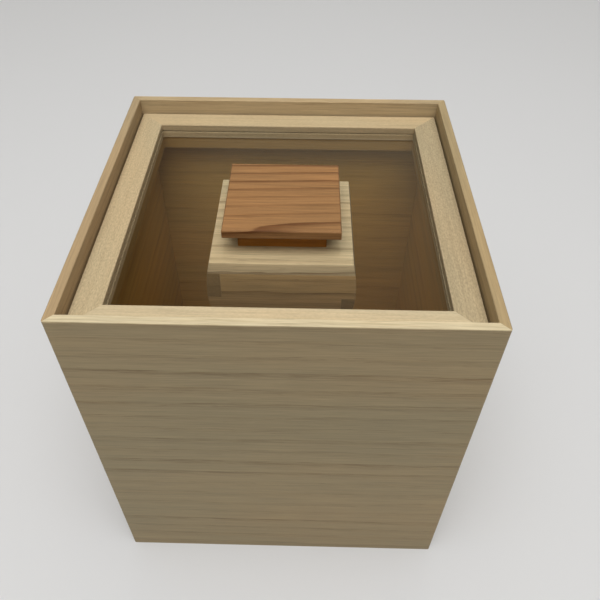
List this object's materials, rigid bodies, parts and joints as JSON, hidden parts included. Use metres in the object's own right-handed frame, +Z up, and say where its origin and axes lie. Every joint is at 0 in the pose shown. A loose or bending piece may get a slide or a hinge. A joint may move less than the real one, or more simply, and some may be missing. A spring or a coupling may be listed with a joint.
{
  "type": "wooden puzzle box",
  "caption": "Deep square wooden puzzle box with a sunk window lid; a cherry knob above the pane carries a small barrel-sided box below it.",
  "frame": {"origin": "centre of the case's underside, on the surface it stands on", "axes": "+Z up; the front wall faces -Y; +X is to the right seen from the front"},
  "size_m": [0.2, 0.2, 0.22],
  "materials": {
    "case_wood": "pale straight-grained softwood, sanded, unvarnished",
    "liner_wood": "same wood, darker inside the case, sanded",
    "lid_wood": "pale fine-grained wood, sanded, unvarnished",
    "box_wood": "light brown open-grained wood, sanded",
    "cherry_wood": "red-brown cherry, oiled satin",
    "clear_pane": "clear acrylic sheet, polished",
    "brass": "turned brass, satin"
  },
  "bodies": {
    "case": {"wall_front": "case_wood", "wall_right": "case_wood", "wall_back": "case_wood", "wall_left": "case_wood", "floor_panel": "case_wood", "liner_front": "liner_wood", "liner_right": "liner_wood", "liner_back": "liner_wood", "liner_left": "liner_wood", "ledge_front": "liner_wood", "ledge_right": "liner_wood", "ledge_back": "liner_wood", "ledge_left": "liner_wood"},
    "window_lid": {"lid_rail_front": "lid_wood", "lid_stile_right": "lid_wood", "lid_rail_back": "lid_wood", "lid_stile_left": "lid_wood", "window_pane": "clear_pane", "collar_block": "cherry_wood", "box_top_panel": "box_wood", "box_top_lips": "box_wood", "pin_bushes": "brass"},
    "knob": {"knob_plate": "cherry_wood", "knob_spindle": "cherry_wood", "turn_bar": "cherry_wood", "bar_peg": "brass"},
    "small_box": {"box_board_front": "box_wood", "box_board_right": "box_wood", "box_board_back": "box_wood", "box_board_left": "box_wood", "box_bottom_panel": "box_wood", "catch_cleats": "cherry_wood"},
    "lock_pin_left": {"lock_pin_left": "brass"},
    "lock_pin_right": {"lock_pin_right": "brass"}
  },
  "joints": [
    {"name": "lid_lift", "type": "slide", "parent": "case", "child": "window_lid", "axis": [0, 0, 1], "range_m": [0, 0.12]},
    {"name": "knob_turn", "type": "hinge", "parent": "window_lid", "child": "knob", "pos_m": [0, 0, 0.21], "axis": [0, 0, 1], "range_deg": [0, 90]},
    {"name": "small_box_drop", "type": "slide", "parent": "window_lid", "child": "small_box", "axis": [0, 0, -1], "range_m": [0, 0.045]},
    {"name": "pin_left_slide", "type": "slide", "parent": "window_lid", "child": "lock_pin_left", "axis": [-1, 0, 0], "range_m": [0, 0.0038]},
    {"name": "pin_right_slide", "type": "slide", "parent": "window_lid", "child": "lock_pin_right", "axis": [1, 0, 0], "range_m": [0, 0.0038]}
  ]
}
